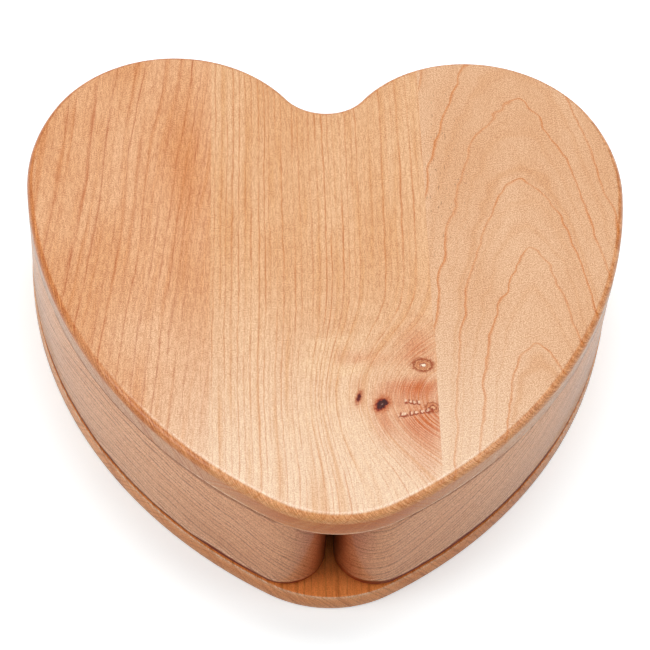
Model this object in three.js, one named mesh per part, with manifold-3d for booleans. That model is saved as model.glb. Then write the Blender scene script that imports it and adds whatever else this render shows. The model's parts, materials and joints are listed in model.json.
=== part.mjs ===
import * as THREE from 'three';
import { mergeVertices } from 'three/addons/utils/BufferGeometryUtils.js';
import Module from 'manifold-3d';

const wasm = await Module();
wasm.setup();

// Heart-shaped keepsake box with a fixed lid and two drawers that swing out on pivot pins
// Millimetres, +Z up; the tip of the heart points to -Y and its cleft to +Y

// Heart outline, seen from above, of arcs that run smoothly into each other
const lobeSpacing = 106.15; // between the centres of the two lobes
const lobeReach = 153.6; // from the tip to the line through the lobe centres
const lobeRadius = 49.6;
const lobeTurn = THREE.MathUtils.degToRad(28.8); // where the lobe opens into the shoulder
const shoulderRadius = 68.4;
const flankRadius = 167.5;
const tipRadius = 40.9;
const cleftRadius = 17;

// Lid and base, each glued up from three staves
const lidThickness = 8.7;
const lidRoundOver = 3;
const lidLeftGlueLine = 40.75; // from the centre line
const lidRightGlueLine = 34.15;
const baseThickness = 6.9;
const baseLeftGlueLine = 36.5;
const baseRightGlueLine = 38;
const edgeEasing = 0.6; // sanded edges of base, lid, drawers and block

// Centre block in the cleft: it carries the lid and stops the drawers when they close
const blockWidth = 28;
const blockDepth = 31; // from the cleft forward
const blockCorner = 4;
const blockSetback = 0.3; // of its back face from the edge of the lid

// Drawers, each one routed from a solid half heart
const drawerHeight = 36.1;
const drawerSetback = 0.3; // of its side from the edge of the lid
const drawerParting = 2.6; // between the two drawers on the centre line
const drawerWall = 8;
const drawerFloor = 5;
const fingerRadius = 13.5; // rounded end at the tip, where a finger pulls
const drawerCorner = 4;
const blockClearance = 0.8;
const cutterRadius = 6; // inside corners of the routed pocket
const linerThickness = 1;
const linerClearance = 0.3;

// Pivot pins with a washer under and over each drawer
const pivotSetback = 16; // from the crown of the lobe forward
const pinRadius = 3;
const pinDepthInBase = 4.4;
const pinDepthInLid = 5.6;
const bossRadius = 13; // wood left round the pin inside the pocket
const washerRadius = 8;
const lowerWasher = 0.7;
const upperWasher = 0.3;
const washerPlay = 0.1;

// Fixings of the centre block: screws from below and dowels into the lid
const fixingSpacing = 15;
const fixingFit = 0.3; // left round every pin, screw and dowel
const screwLength = 20;
const screwRadius = 1.75;
const screwHeadRadius = 3.5;
const screwHeadHeight = 2;
const screwTip = 3;
const screwRecess = 0.5; // of the head below the underside
const dowelRadius = 3;
const dowelLength = 16;
const dowelDepthInLid = 5.6;

// Fineness of the round surfaces
const facetLength = 4;
const facetTurn = THREE.MathUtils.degToRad(11);
const roundOverSteps = 5;
const roundSides = 24;
const coincident = 0.001; // two outline points closer than this are one
const overrun = 1; // of a cutting tool past the face that it opens

// Heights
const baseTop = baseThickness;
const drawerBottom = baseTop + lowerWasher + washerPlay;
const drawerTop = drawerBottom + drawerHeight;
const lidBottom = drawerTop + washerPlay + upperWasher;
const lidTop = lidBottom + lidThickness;
const pocketBottom = drawerBottom + drawerFloor;

const quarterTurn = Math.PI / 2;
const fullTurn = 2 * Math.PI;
const heading = (from, to) => Math.atan2(to.y - from.y, to.x - from.x);
const across = (long, short) => Math.sqrt(long * long - short * short);

// Arcs run counter-clockwise where the outline bulges and clockwise where it is hollow
function bulge(centre, radius, from, to) {
  return { centre, radius, from, to: to < from ? to + fullTurn : to, hollow: false };
}

function hollow(centre, radius, from, to) {
  return { centre, radius, from, to: to > from ? to - fullTurn : to, hollow: true };
}

// The same arc moved inward by a depth, which tightens a bulge and widens a hollow
function inward(arc, depth) {
  return { ...arc, radius: arc.radius + (arc.hollow ? depth : -depth) };
}

function mirrored(arcs) {
  const flipped = arcs.map((arc) => ({
    ...arc,
    centre: new THREE.Vector2(-arc.centre.x, arc.centre.y),
    from: Math.PI - arc.to,
    to: Math.PI - arc.from,
  }));
  return flipped.reverse();
}

// Centre of a circle that touches two others, to the left of the way from the first to the second
function meet(first, firstRadius, second, secondRadius) {
  const spread = first.distanceTo(second);
  const along = (firstRadius ** 2 - secondRadius ** 2 + spread ** 2) / (2 * spread);
  const aside = across(firstRadius, along);
  const way = heading(first, second);
  return new THREE.Vector2(
    first.x + along * Math.cos(way) - aside * Math.sin(way),
    first.y + along * Math.sin(way) + aside * Math.cos(way),
  );
}

// Right half of the heart, from the tip round the lobe to the cleft
const tipCentre = new THREE.Vector2(0, tipRadius);
const lobeCentre = new THREE.Vector2(lobeSpacing / 2, lobeReach);
const shoulderOffset = shoulderRadius - lobeRadius;
const shoulderCentre = new THREE.Vector2(
  lobeCentre.x - shoulderOffset * Math.cos(lobeTurn),
  lobeCentre.y - shoulderOffset * Math.sin(lobeTurn),
);
const flankCentre = meet(
  tipCentre, flankRadius - tipRadius, shoulderCentre, flankRadius - shoulderRadius,
);
const cleftCentre = new THREE.Vector2(
  0, lobeCentre.y + across(lobeRadius + cleftRadius, lobeCentre.x),
);
const flankStart = heading(flankCentre, tipCentre);
const flankEnd = heading(flankCentre, shoulderCentre);
const tipArc = bulge(tipCentre, tipRadius, -quarterTurn, flankStart);
const flankArc = bulge(flankCentre, flankRadius, flankStart, flankEnd);
const shoulderArc = bulge(shoulderCentre, shoulderRadius, flankEnd, lobeTurn);
const lobeArc = bulge(lobeCentre, lobeRadius, lobeTurn, heading(lobeCentre, cleftCentre));
const cleftArc = hollow(cleftCentre, cleftRadius, heading(cleftCentre, lobeCentre), -quarterTurn);
const rightHalf = [tipArc, flankArc, shoulderArc, lobeArc, cleftArc];
const heartOutline = [...rightHalf, ...mirrored(rightHalf)];
const heartLength = lobeCentre.y + lobeRadius;
const cleftBottom = cleftCentre.y - cleftRadius;

const pivot = new THREE.Vector2(lobeCentre.x, heartLength - pivotSetback);
const blockFront = cleftBottom - blockDepth;

function pointOn(mark, inset) {
  const radius = inward(mark.arc, inset).radius;
  const { centre } = mark.arc;
  return new THREE.Vector2(
    centre.x + radius * Math.cos(mark.angle), centre.y + radius * Math.sin(mark.angle),
  );
}

// Marks along the arcs; the straight stretches are the jumps from one arc to the next
function marksAlong(arcs) {
  const marks = [];
  for (const arc of arcs) {
    const turn = Math.abs(arc.to - arc.from);
    const steps = Math.max(
      Math.ceil(turn * arc.radius / facetLength), Math.ceil(turn / facetTurn), 1,
    );
    for (let step = 0; step <= steps; step += 1) {
      marks.push({ arc, angle: THREE.MathUtils.lerp(arc.from, arc.to, step / steps) });
    }
  }
  const apart = (mark, other) => pointOn(mark, 0).distanceTo(pointOn(other, 0)) > coincident;
  return marks.filter((mark, index) => apart(mark, marks.at(index - 1)));
}

// Solid whose level slices are one outline, each at its own inset and height
function loft(arcs, slices) {
  const marks = marksAlong(arcs);
  const count = marks.length;
  const positions = [];
  const faces = [];
  slices.forEach(({ inset, z }, level) => {
    const ring = marks.map((mark) => pointOn(mark, inset));
    ring.forEach((point) => positions.push(point.x, point.y, z));
    if (level > 0) {
      for (let index = 0; index < count; index += 1) {
        const lower = (level - 1) * count + index;
        const lowerNext = (level - 1) * count + (index + 1) % count;
        faces.push(lower, lowerNext, lowerNext + count, lower, lowerNext + count, lower + count);
      }
    }
    if (level === 0 || level === slices.length - 1) {
      for (const [a, b, c] of THREE.ShapeUtils.triangulateShape(ring, [])) {
        const cap = level === 0 ? [c, b, a] : [a, b, c];
        faces.push(...cap.map((corner) => level * count + corner));
      }
    }
  });
  const geometry = new THREE.BufferGeometry();
  geometry.setAttribute('position', new THREE.Float32BufferAttribute(positions, 3));
  geometry.setIndex(faces);
  return geometry;
}

const prism = (arcs, bottom, top) => loft(arcs, [{ inset: 0, z: bottom }, { inset: 0, z: top }]);

// Prism with its top and bottom edges eased
function board(arcs, bottom, top, setback) {
  return loft(arcs, [
    { inset: setback + edgeEasing, z: bottom },
    { inset: setback, z: bottom + edgeEasing },
    { inset: setback, z: top - edgeEasing },
    { inset: setback + edgeEasing, z: top },
  ]);
}

// Cylinder standing on the level of its foot
function rod(centre, radius, bottom, top) {
  const geometry = new THREE.CylinderGeometry(radius, radius, top - bottom, roundSides);
  return geometry.rotateX(quarterTurn).translate(centre.x, centre.y, (bottom + top) / 2);
}

// Turned piece from pairs of radius and height, standing upright
function turned(centre, profile) {
  const points = profile.map(([radius, z]) => new THREE.Vector2(radius, z));
  const geometry = new THREE.LatheGeometry(points, roundSides);
  return geometry.rotateX(quarterTurn).translate(centre.x, centre.y, 0);
}

function box(left, right, front, back, bottom, top) {
  const geometry = new THREE.BoxGeometry(right - left, back - front, top - bottom);
  return geometry.translate((left + right) / 2, (front + back) / 2, (bottom + top) / 2);
}

// Joins and cuts
function solidOf(geometry) {
  const bare = geometry.clone();
  bare.deleteAttribute('normal');
  bare.deleteAttribute('uv');
  const merged = mergeVertices(bare);
  const triangles = [];
  for (let index = 0; index < merged.index.count; index += 3) {
    const corners = [0, 1, 2].map((corner) => merged.index.getX(index + corner));
    if (new Set(corners).size === 3) triangles.push(...corners);
  }
  return new wasm.Manifold(new wasm.Mesh({
    numProp: 3,
    vertProperties: merged.getAttribute('position').array,
    triVerts: new Uint32Array(triangles),
  }));
}

function geometryOf(solid) {
  const mesh = solid.getMesh();
  const geometry = new THREE.BufferGeometry();
  geometry.setAttribute('position', new THREE.BufferAttribute(mesh.vertProperties, 3));
  geometry.setIndex(new THREE.BufferAttribute(mesh.triVerts, 1));
  return geometry;
}

function cut(solid, tools) {
  return tools.reduce((rest, tool) => rest.subtract(solidOf(tool)), solid);
}

const keepsakeBox = new THREE.Group();
keepsakeBox.position.y = -heartLength / 2;

function add(name, geometry, finish) {
  geometry.deleteAttribute('uv');
  geometry.computeVertexNormals();
  const mesh = new THREE.Mesh(geometry, new THREE.MeshStandardMaterial(finish));
  mesh.name = name;
  keepsakeBox.add(mesh);
}

const sides = [{ side: 'left', sign: -1 }, { side: 'right', sign: 1 }];
const onSide = (point, sign) => new THREE.Vector2(sign * point.x, point.y);

// Pins, screws and dowels, which the wood is bored for with a little room round them
const pinFoot = baseTop - pinDepthInBase;
const pinHead = lidBottom + pinDepthInLid;
const pinBores = sides.map(({ sign }) => rod(
  onSide(pivot, sign), pinRadius + fixingFit, pinFoot - fixingFit, pinHead + fixingFit,
));

const fixingMiddle = blockFront + blockDepth / 2;
const fixings = [
  { place: 'front', centre: new THREE.Vector2(0, fixingMiddle - fixingSpacing / 2) },
  { place: 'back', centre: new THREE.Vector2(0, fixingMiddle + fixingSpacing / 2) },
];
const screwTop = screwRecess + screwLength;

function screwProfile(foot, fit) {
  return [
    [0, foot],
    [screwHeadRadius + fit, foot],
    [screwHeadRadius + fit, screwRecess + fit],
    [screwRadius + fit, screwRecess + screwHeadHeight + fit],
    [screwRadius + fit, screwTop - screwTip + fit],
    [0, screwTop + fit],
  ];
}

const screwBores = fixings.map(({ centre }) => turned(centre, screwProfile(-overrun, fixingFit)));
const dowelTop = lidBottom + dowelDepthInLid;
const dowelBores = fixings.map(({ centre }) => rod(
  centre, dowelRadius + fixingFit, dowelTop - dowelLength - fixingFit, dowelTop + fixingFit,
));

// Lid: round-over on the top edge, easing below, and three staves side by side
const roundOver = Array.from({ length: roundOverSteps + 1 }, (unused, step) => {
  const angle = quarterTurn * step / roundOverSteps;
  return {
    inset: lidRoundOver * (1 - Math.cos(angle)),
    z: lidTop - lidRoundOver * (1 - Math.sin(angle)),
  };
});
const lidBlank = cut(
  solidOf(loft(heartOutline, [
    { inset: edgeEasing, z: lidBottom },
    { inset: 0, z: lidBottom + edgeEasing },
    ...roundOver,
  ])),
  [...pinBores, ...dowelBores],
);
const baseBlank = cut(
  solidOf(board(heartOutline, 0, baseTop, 0)), [...pinBores, ...screwBores],
);

function addStaves(name, blank, bottom, top, leftLine, rightLine, colors) {
  const reach = shoulderCentre.x + shoulderRadius + overrun;
  const staves = [
    { place: 'left', from: -reach, to: -leftLine },
    { place: 'middle', from: -leftLine, to: rightLine },
    { place: 'right', from: rightLine, to: reach },
  ];
  staves.forEach(({ place, from, to }, index) => {
    const slab = box(from, to, -overrun, heartLength + overrun, bottom - overrun, top + overrun);
    const stave = blank.intersect(solidOf(slab));
    const finish = { color: colors[index], roughness: 0.45, metalness: 0 };
    add(`${name}_stave_${place}`, geometryOf(stave), finish);
  });
}

addStaves('lid', lidBlank, lidBottom, lidTop, lidLeftGlueLine, lidRightGlueLine,
  ['#d9a37c', '#e0b08a', '#e2b795']);
addStaves('base', baseBlank, 0, baseTop, baseLeftGlueLine, baseRightGlueLine,
  ['#c98f62', '#c48a5c', '#c98f62']);

// Centre block, whose back follows the cleft
const blockHalf = blockWidth / 2;
const blockArc = bulge(
  new THREE.Vector2(blockHalf - blockCorner, blockFront + blockCorner), blockCorner, -quarterTurn, 0,
);
const blockBackArc = bulge(
  new THREE.Vector2(blockHalf - blockCorner, heartLength), blockCorner, 0, quarterTurn,
);
const blockPlan = [blockArc, blockBackArc];
const blockSlab = prism([...blockPlan, ...mirrored(blockPlan)], baseTop, lidBottom);
const blockBlank = solidOf(blockSlab)
  .intersect(solidOf(loft(heartOutline, [
    { inset: blockSetback, z: baseTop }, { inset: blockSetback, z: lidBottom },
  ])));
add('centre_block', geometryOf(cut(blockBlank, [...screwBores, ...dowelBores])),
  { color: '#d3a077', roughness: 0.5, metalness: 0 });

// Plan of the right drawer, counter-clockwise from its rounded end at the tip
const innerFace = drawerParting / 2;
const drawerFlank = inward(flankArc, drawerSetback);
const drawerTipArc = inward(tipArc, drawerSetback);
const drawerShoulder = inward(shoulderArc, drawerSetback);
const drawerLobe = inward(lobeArc, drawerSetback);

// Rounding between an upright face at x and an arc, on the front or the back side of the arc
function faceFillet(x, arc, radius, side) {
  const reach = arc.radius - radius;
  const centreX = x + radius;
  return new THREE.Vector2(centreX, arc.centre.y + side * across(reach, centreX - arc.centre.x));
}

const filletOnFlank = faceFillet(innerFace, drawerFlank, fingerRadius, -1);
const meetsFlank = heading(flankCentre, filletOnFlank) > flankStart;
const fingerCentre = meetsFlank
  ? filletOnFlank
  : faceFillet(innerFace, drawerTipArc, fingerRadius, -1);
const fingerEnd = heading(meetsFlank ? flankCentre : tipCentre, fingerCentre);
const drawerFront = [bulge(fingerCentre, fingerRadius, Math.PI, fingerEnd)];
if (meetsFlank) {
  drawerFront.push({ ...drawerFlank, from: fingerEnd });
} else {
  drawerFront.push({ ...drawerTipArc, from: fingerEnd }, drawerFlank);
}
drawerFront.push(drawerShoulder);

// Step in the inner face of a drawer that clears the centre block
function blockStep(faceX, stepX, stepY, insideRadius, outsideRadius) {
  const inside = new THREE.Vector2(stepX - insideRadius, stepY + insideRadius);
  const outside = new THREE.Vector2(faceX + outsideRadius, stepY - outsideRadius);
  return [
    hollow(inside, insideRadius, 0, -quarterTurn),
    bulge(outside, outsideRadius, quarterTurn, Math.PI),
  ];
}

const stepX = blockHalf + blockClearance;
const stepY = blockFront - blockClearance;
const drawerBackCentre = faceFillet(stepX, drawerLobe, drawerCorner, 1);
const drawerBackTurn = heading(lobeCentre, drawerBackCentre);
const drawerPlan = [
  ...drawerFront,
  { ...drawerLobe, to: drawerBackTurn },
  bulge(drawerBackCentre, drawerCorner, drawerBackTurn, Math.PI),
  ...blockStep(innerFace, stepX, stepY, blockCorner + blockClearance, drawerCorner),
];

// Plan of its pocket, which leaves a boss for the pivot pin
const pocketLobe = inward(drawerLobe, drawerWall);
const pocketFaceX = stepX + drawerWall;
const bossReach = bossRadius + cutterRadius;
const besideBoss = meet(pivot, bossReach, lobeCentre, pocketLobe.radius - cutterRadius);
const beyondBoss = new THREE.Vector2(2 * pivot.x - besideBoss.x, besideBoss.y);
const pocketBackCentre = faceFillet(pocketFaceX, pocketLobe, cutterRadius, 1);

// The pocket runs round the boss where there is room for the cutter between boss and inner wall
const roomBeyondBoss = beyondBoss.x > pocketBackCentre.x;
const innerFillet = roomBeyondBoss ? beyondBoss : new THREE.Vector2(
  pocketBackCentre.x, pivot.y - across(bossReach, pivot.x - pocketBackCentre.x),
);
const pocketBack = roomBeyondBoss ? [
  bulge(beyondBoss, cutterRadius, heading(beyondBoss, pivot), heading(lobeCentre, beyondBoss)),
  {
    ...pocketLobe,
    from: heading(lobeCentre, beyondBoss),
    to: heading(lobeCentre, pocketBackCentre),
  },
  bulge(pocketBackCentre, cutterRadius, heading(lobeCentre, pocketBackCentre), Math.PI),
] : [
  bulge(innerFillet, cutterRadius, heading(innerFillet, pivot), Math.PI),
];
const pocketPlan = [
  ...drawerFront.map((arc) => inward(arc, drawerWall)),
  { ...pocketLobe, to: heading(lobeCentre, besideBoss) },
  bulge(besideBoss, cutterRadius, heading(lobeCentre, besideBoss), heading(besideBoss, pivot)),
  hollow(pivot, bossRadius, heading(pivot, besideBoss), heading(pivot, innerFillet)),
  ...pocketBack,
  ...blockStep(
    innerFace + drawerWall, pocketFaceX, stepY - drawerWall, cutterRadius, cutterRadius,
  ),
];

for (const { side, sign } of sides) {
  const facing = (arcs) => (sign < 0 ? mirrored(arcs) : arcs);
  const centre = onSide(pivot, sign);
  const pocket = prism(facing(pocketPlan), pocketBottom, drawerTop + overrun);
  const bore = rod(centre, pinRadius + fixingFit, drawerBottom - overrun, drawerTop + overrun);
  const drawer = cut(solidOf(board(facing(drawerPlan), drawerBottom, drawerTop, 0)), [pocket, bore]);
  add(`drawer_${side}`, geometryOf(drawer), { color: '#cf9f7b', roughness: 0.45, metalness: 0 });

  const liner = loft(facing(pocketPlan), [
    { inset: linerClearance, z: pocketBottom },
    { inset: linerClearance, z: pocketBottom + linerThickness },
  ]);
  add(`felt_liner_${side}`, liner, { color: '#6b4a33', roughness: 1, metalness: 0 });

  add(`pivot_pin_${side}`, rod(centre, pinRadius, pinFoot, pinHead),
    { color: '#b9bcc0', roughness: 0.3, metalness: 1 });

  const washers = [
    { place: 'lower', bottom: baseTop, top: baseTop + lowerWasher },
    { place: 'upper', bottom: lidBottom - upperWasher, top: lidBottom },
  ];
  for (const { place, bottom, top } of washers) {
    const bored = pinRadius + fixingFit;
    const washer = turned(centre, [
      [bored, bottom], [washerRadius, bottom], [washerRadius, top], [bored, top], [bored, bottom],
    ]);
    add(`${place}_washer_${side}`, washer, { color: '#e8e4da', roughness: 0.5, metalness: 0 });
  }
}

for (const { place, centre } of fixings) {
  add(`block_screw_${place}`, turned(centre, screwProfile(screwRecess, 0)),
    { color: '#b9bcc0', roughness: 0.35, metalness: 1 });
  add(`lid_dowel_${place}`, rod(centre, dowelRadius, dowelTop - dowelLength, dowelTop),
    { color: '#d8b88f', roughness: 0.6, metalness: 0 });
}

export default keepsakeBox;
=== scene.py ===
import json
import math
from functools import partial

import bmesh
import bpy
from mathutils import Euler, Matrix, Vector


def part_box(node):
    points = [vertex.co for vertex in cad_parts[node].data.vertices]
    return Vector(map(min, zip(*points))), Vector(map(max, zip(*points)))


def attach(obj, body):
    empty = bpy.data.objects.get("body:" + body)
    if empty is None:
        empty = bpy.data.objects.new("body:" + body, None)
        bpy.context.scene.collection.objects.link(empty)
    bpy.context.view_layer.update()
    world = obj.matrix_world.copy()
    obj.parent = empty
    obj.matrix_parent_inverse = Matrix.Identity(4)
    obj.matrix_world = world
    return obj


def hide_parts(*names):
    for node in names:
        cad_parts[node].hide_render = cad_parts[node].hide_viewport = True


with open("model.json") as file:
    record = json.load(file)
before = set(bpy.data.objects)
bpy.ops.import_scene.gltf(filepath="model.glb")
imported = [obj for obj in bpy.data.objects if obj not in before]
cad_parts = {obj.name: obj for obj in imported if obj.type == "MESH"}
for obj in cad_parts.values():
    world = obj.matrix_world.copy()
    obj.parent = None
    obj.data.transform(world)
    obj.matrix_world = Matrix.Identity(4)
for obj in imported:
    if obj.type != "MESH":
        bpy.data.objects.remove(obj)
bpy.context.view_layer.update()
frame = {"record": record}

# Heart-shaped keepsake box: the CAD pieces' places come from the frame, lengths here are in millimetres
mm = 0.001
scene = bpy.context.scene
creases = {"wood": math.radians(25), "turned": math.radians(35), "felt": math.radians(60)}
cutTolerance = 1e-7  # metres


def millimetres(node):
    low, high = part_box(node)
    return [value / mm for value in low], [value / mm for value in high]


def addObject(name, data):
    added = bpy.data.objects.new(name, data)
    scene.collection.objects.link(added)
    return added


# Name of the piece that stands for a CAD node; the two screws are one piece
def pieceName(node):
    first, *others = node.split("_")
    return "blockScrews" if first == "block" else first + "".join(word.capitalize() for word in others)


heart = {
    "lobeSpacing": 106.15,
    "lobeReach": 153.6,  # from the tip to the line through the lobe centres
    "lobeRadius": 49.6,
    "lobeTurn": math.radians(28.8),  # where the lobe opens into the shoulder
    "shoulderRadius": 68.4,
    "flankRadius": 167.5,
    "tipRadius": 40.9,
    "cleftRadius": 17.0,
    "facet": 1.1,  # longest step along the outline
    "facetTurn": math.radians(6),
    "closest": 0.001,  # marks nearer than this are one
}

lidLow, lidHigh = millimetres("lid_stave_middle")
baseLow, baseHigh = millimetres("base_stave_middle")
drawerLow, drawerHigh = millimetres("drawer_right")
linerLow, linerHigh = millimetres("felt_liner_right")
blockLow, blockHigh = millimetres("centre_block")
lidGlueLines = [lidLow[0], lidHigh[0]]
baseGlueLines = [baseLow[0], baseHigh[0]]


# Where two circles cross, to the left of the way from the first centre to the second
def meet(first, firstRadius, second, secondRadius):
    spread = math.dist(first, second)
    along = (firstRadius**2 - secondRadius**2 + spread**2) / (2 * spread)
    aside = math.sqrt(firstRadius**2 - along**2)
    way = math.atan2(second[1] - first[1], second[0] - first[0])
    return (
        first[0] + along * math.cos(way) - aside * math.sin(way),
        first[1] + along * math.sin(way) + aside * math.cos(way),
    )


def heading(start, end):
    return math.atan2(end[1] - start[1], end[0] - start[0])


# An outline is a list of arcs that runs anticlockwise; a bulge turns left and a hollow right
def bend(side, centre, radius, start, end):
    if (end - start) * side < 0:
        end += side * 2 * math.pi
    return {"centre": centre, "radius": radius, "start": start, "end": end, "hollow": side < 0}


bulge, hollow = partial(bend, 1), partial(bend, -1)


# The arc set back into the shape
def inward(arc, depth):
    return {**arc, "radius": arc["radius"] + (depth if arc["hollow"] else -depth)}


def mirrored(arcs):
    return [
        {**arc, "centre": (-arc["centre"][0], arc["centre"][1]),
         "start": math.pi - arc["end"], "end": math.pi - arc["start"]}
        for arc in reversed(arcs)
    ]


tipY = -(heart["lobeReach"] + heart["lobeRadius"]) / 2  # the frame's origin is at half length
tipCentre = (0, tipY + heart["tipRadius"])
lobeCentre = (heart["lobeSpacing"] / 2, tipY + heart["lobeReach"])
shoulderOffset = heart["shoulderRadius"] - heart["lobeRadius"]
shoulderCentre = (
    lobeCentre[0] - shoulderOffset * math.cos(heart["lobeTurn"]),
    lobeCentre[1] - shoulderOffset * math.sin(heart["lobeTurn"]),
)
flankCentre = meet(
    tipCentre, heart["flankRadius"] - heart["tipRadius"],
    shoulderCentre, heart["flankRadius"] - heart["shoulderRadius"],
)
cleftReach = heart["lobeRadius"] + heart["cleftRadius"]
cleftCentre = (0, lobeCentre[1] + math.sqrt(cleftReach**2 - lobeCentre[0] ** 2))
flankStart = heading(flankCentre, tipCentre)
flankEnd = heading(flankCentre, shoulderCentre)
tipArc = bulge(tipCentre, heart["tipRadius"], -math.pi / 2, flankStart)
flankArc = bulge(flankCentre, heart["flankRadius"], flankStart, flankEnd)
shoulderArc = bulge(shoulderCentre, heart["shoulderRadius"], flankEnd, heart["lobeTurn"])
lobeArc = bulge(lobeCentre, heart["lobeRadius"], heart["lobeTurn"], heading(lobeCentre, cleftCentre))
cleftArc = hollow(cleftCentre, heart["cleftRadius"], heading(cleftCentre, lobeCentre), -math.pi / 2)
rightHalf = [tipArc, flankArc, shoulderArc, lobeArc, cleftArc]
heartOutline = rightHalf + mirrored(rightHalf)


# Points to sample an outline at, each an arc and an angle on it
def marksAlong(arcs):
    marks = []
    for arc in arcs:
        turn = abs(arc["end"] - arc["start"])
        steps = max(
            math.ceil(turn * arc["radius"] / heart["facet"]), math.ceil(turn / heart["facetTurn"]), 1
        )
        marks += [(arc, arc["start"] + (arc["end"] - arc["start"]) * step / steps)
                  for step in range(steps + 1)]
    return [mark for index, mark in enumerate(marks)
            if math.dist(pointOn(mark, 0), pointOn(marks[index - 1], 0)) > heart["closest"]]


def pointOn(mark, inset):
    arc, angle = mark
    radius = inward(arc, inset)["radius"]
    return (arc["centre"][0] + radius * math.cos(angle), arc["centre"][1] + radius * math.sin(angle))


# Solid whose level slices are one outline, each slice (inset, height)
def loft(arcs, slices):
    marks = marksAlong(arcs)
    mesh = bmesh.new()
    rings = []
    for inset, z in slices:
        ring = [mesh.verts.new((*[value * mm for value in pointOn(mark, inset)], z * mm))
                for mark in marks]
        rings.append(ring)
    for lower, upper in zip(rings, rings[1:]):
        for index in range(len(marks)):
            after = (index + 1) % len(marks)
            mesh.faces.new((lower[index], lower[after], upper[after], upper[index]))
    mesh.faces.new(list(reversed(rings[0])))
    mesh.faces.new(rings[-1])
    return mesh


# Slices of a rounded edge, up to the level top
def quarterRound(radius, steps, top):
    slices = []
    for step in range(steps + 1):
        angle = math.pi / 2 * step / steps
        slices.append((radius * (1 - math.cos(angle)), top - radius * (1 - math.sin(angle))))
    return slices


def easedBelow(radius, steps, bottom):
    return [(inset, 2 * bottom - z) for inset, z in reversed(quarterRound(radius, steps, bottom))]


def finishPiece(name, mesh, sharpAngle=creases["wood"]):
    bmesh.ops.recalc_face_normals(mesh, faces=mesh.faces)
    data = bpy.data.meshes.new(name)
    mesh.to_mesh(data)
    mesh.free()
    for polygon in data.polygons:
        polygon.use_smooth = True
    data.set_sharp_from_angle(angle=sharpAngle)
    return addObject(name, data)


# What lies between two upright planes across X, with the cut faces closed
def between(mesh, left, right):
    part = mesh.copy()
    for limit, side in ((left, -1), (right, 1)):
        if limit is None:
            continue
        geometry = part.verts[:] + part.edges[:] + part.faces[:]
        cut = bmesh.ops.bisect_plane(
            part, geom=geometry, plane_co=(limit * mm, 0, 0), plane_no=(side, 0, 0),
            clear_outer=True, dist=cutTolerance,
        )
        edges = [item for item in cut["geom_cut"] if isinstance(item, bmesh.types.BMEdge)]
        bmesh.ops.edgeloop_fill(part, edges=edges)
    return part


print("stage 1: camera and light")

view = {
    "place": (-46.3, -519.1, 678.3),
    "tilt": 38.41,
    "roll": -2.96,
    "turn": -1.35,
    "lens": 132.35,
    "sensor": 36,
    "farthest": 20,  # metres
}
cameraData = bpy.data.cameras.new("camera")
cameraData.lens = view["lens"]
cameraData.sensor_width = view["sensor"]
cameraData.clip_end = view["farthest"]
camera = addObject("camera", cameraData)
camera.location = [value * mm for value in view["place"]]
camera.rotation_euler = Euler([math.radians(view[turn]) for turn in ("tilt", "roll", "turn")])
scene.camera = camera
scene.view_settings.view_transform = "Standard"


# Linear colour from an sRGB hex value, by the curve of that standard
def linear(hexColour):
    values = [int(hexColour[start:start + 2], 16) / 255 for start in (0, 2, 4)]
    return [value / 12.92 if value <= 0.04045 else ((value + 0.055) / 1.055) ** 2.4
            for value in values] + [1]


# Short names of often used nodes, each with its settings: spread eases from one end of its range to the
# other and slope doesn't, stretch and shift multiply and add vectors
kinds = {
    "noise": ("ShaderNodeTexNoise", {}),
    "rowNoise": ("ShaderNodeTexNoise", {"noise_dimensions": "1D"}),
    "blend": ("ShaderNodeMix", {"data_type": "RGBA"}),
    "spread": ("ShaderNodeMapRange", {"interpolation_type": "SMOOTHSTEP"}),
    "slope": ("ShaderNodeMapRange", {}),
    "apart": ("ShaderNodeSeparateXYZ", {}),
    "joined": ("ShaderNodeCombineXYZ", {}),
    "stretch": ("ShaderNodeVectorMath", {"operation": "MULTIPLY"}),
    "shift": ("ShaderNodeVectorMath", {"operation": "ADD"}),
}
for operation in ("add", "subtract", "multiply", "divide", "sqrt", "absolute", "round", "fract", "exponent",
                  "minimum", "maximum"):
    kinds[operation] = ("ShaderNodeMath", {"operation": operation.upper()})


# Adds a node, its inputs given in order or by name; each is a number, a colour, a socket or a node
def put(tree, kind, *values, **settings):
    if kind in ("add", "multiply") and len(values) > 2:
        values = (put(tree, kind, *values[:-1]), values[-1])
    kind, preset = kinds.get(kind, (kind, {}))
    node = tree.nodes.new(kind)
    for name, value in {**preset, **settings}.items():
        setattr(node, name, value)
    named = values[-1] if values and isinstance(values[-1], dict) else {}
    inOrder = zip([socket for socket in node.inputs if socket.enabled], values[:-1] if named else values)
    for socket, value in [*inOrder, *((node.inputs[name], value) for name, value in named.items())]:
        if isinstance(value, bpy.types.Node):
            value = next(output for output in value.outputs if output.enabled)
        if isinstance(value, bpy.types.NodeSocket):
            tree.links.new(value, socket)
        else:
            socket.default_value = linear(value) if isinstance(value, str) else value
    return node


# New material with an empty tree, and what adds nodes to that tree
def emptyMaterial(name):
    material = bpy.data.materials.new(name)
    material.use_nodes = True
    material.node_tree.nodes.clear()
    return material, partial(put, material.node_tree)


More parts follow.
